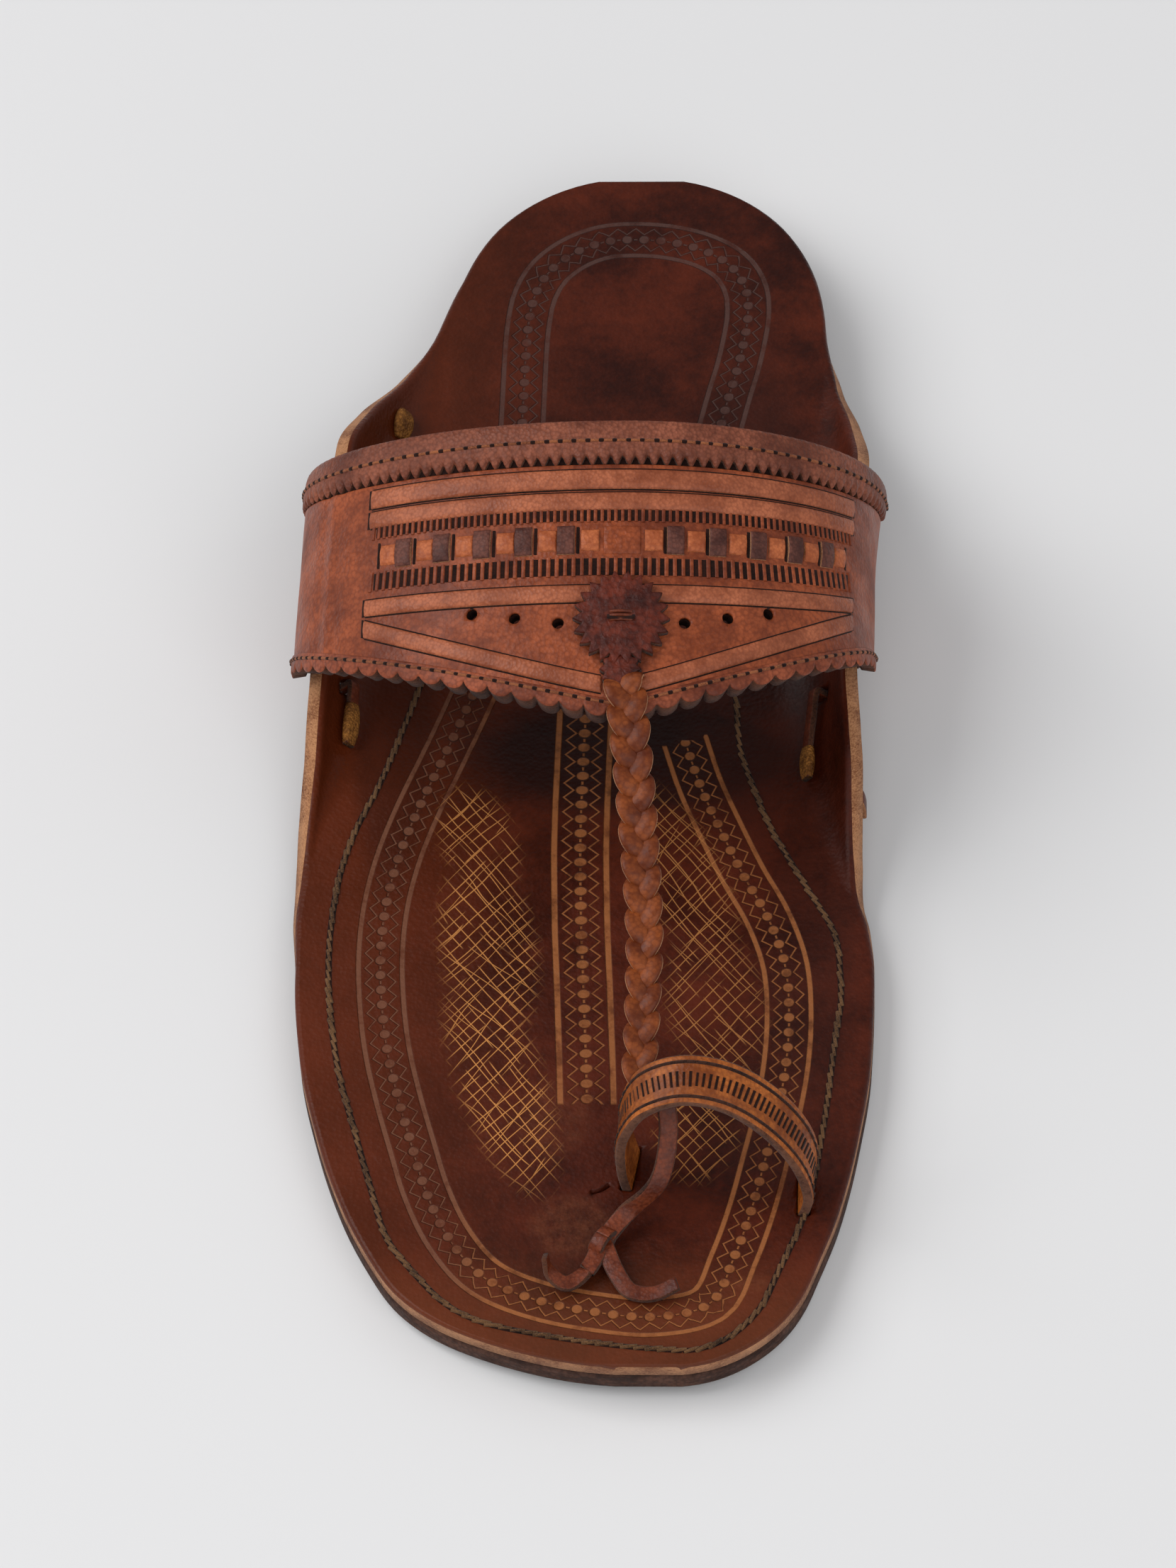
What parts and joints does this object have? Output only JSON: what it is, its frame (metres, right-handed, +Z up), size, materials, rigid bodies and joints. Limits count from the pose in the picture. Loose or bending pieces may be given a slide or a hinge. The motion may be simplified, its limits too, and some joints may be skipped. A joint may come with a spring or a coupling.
{
  "type": "kolhapuri sandal",
  "caption": "Flat leather toe-loop sandal with a broad tooled instep band, plaited front strap, turned-up insole ears and a low stacked heel.",
  "frame": {"origin": "middle of the sandal's box, on the floor", "axes": "+Y towards the heel, -Y towards the toe, +X towards the big-toe side, +Z up"},
  "size_m": [0.1146, 0.2794, 0.0711],
  "materials": {
    "sole_leather": "dark brown waxed sole leather with a burnished edge",
    "insole_leather": "mahogany vegetable-tanned leather, polished, tooled with traditional lines and diamonds",
    "band_leather": "reddish tan leather with tooled strips, slots and stitching",
    "rosette_leather": "crinkled dark tan leather, cut with teeth",
    "thong_leather": "rolled tan leather thong"
  },
  "bodies": {
    "root": {"outsole": "sole_leather", "heel_lift_1": "sole_leather", "heel_lift_2": "sole_leather", "insole": "insole_leather", "upper": "band_leather", "rosette": "rosette_leather", "thong_tie": "thong_leather", "ear_lacing_lateral": "thong_leather", "ear_lacing_medial": "thong_leather"}
  },
  "joints": []
}
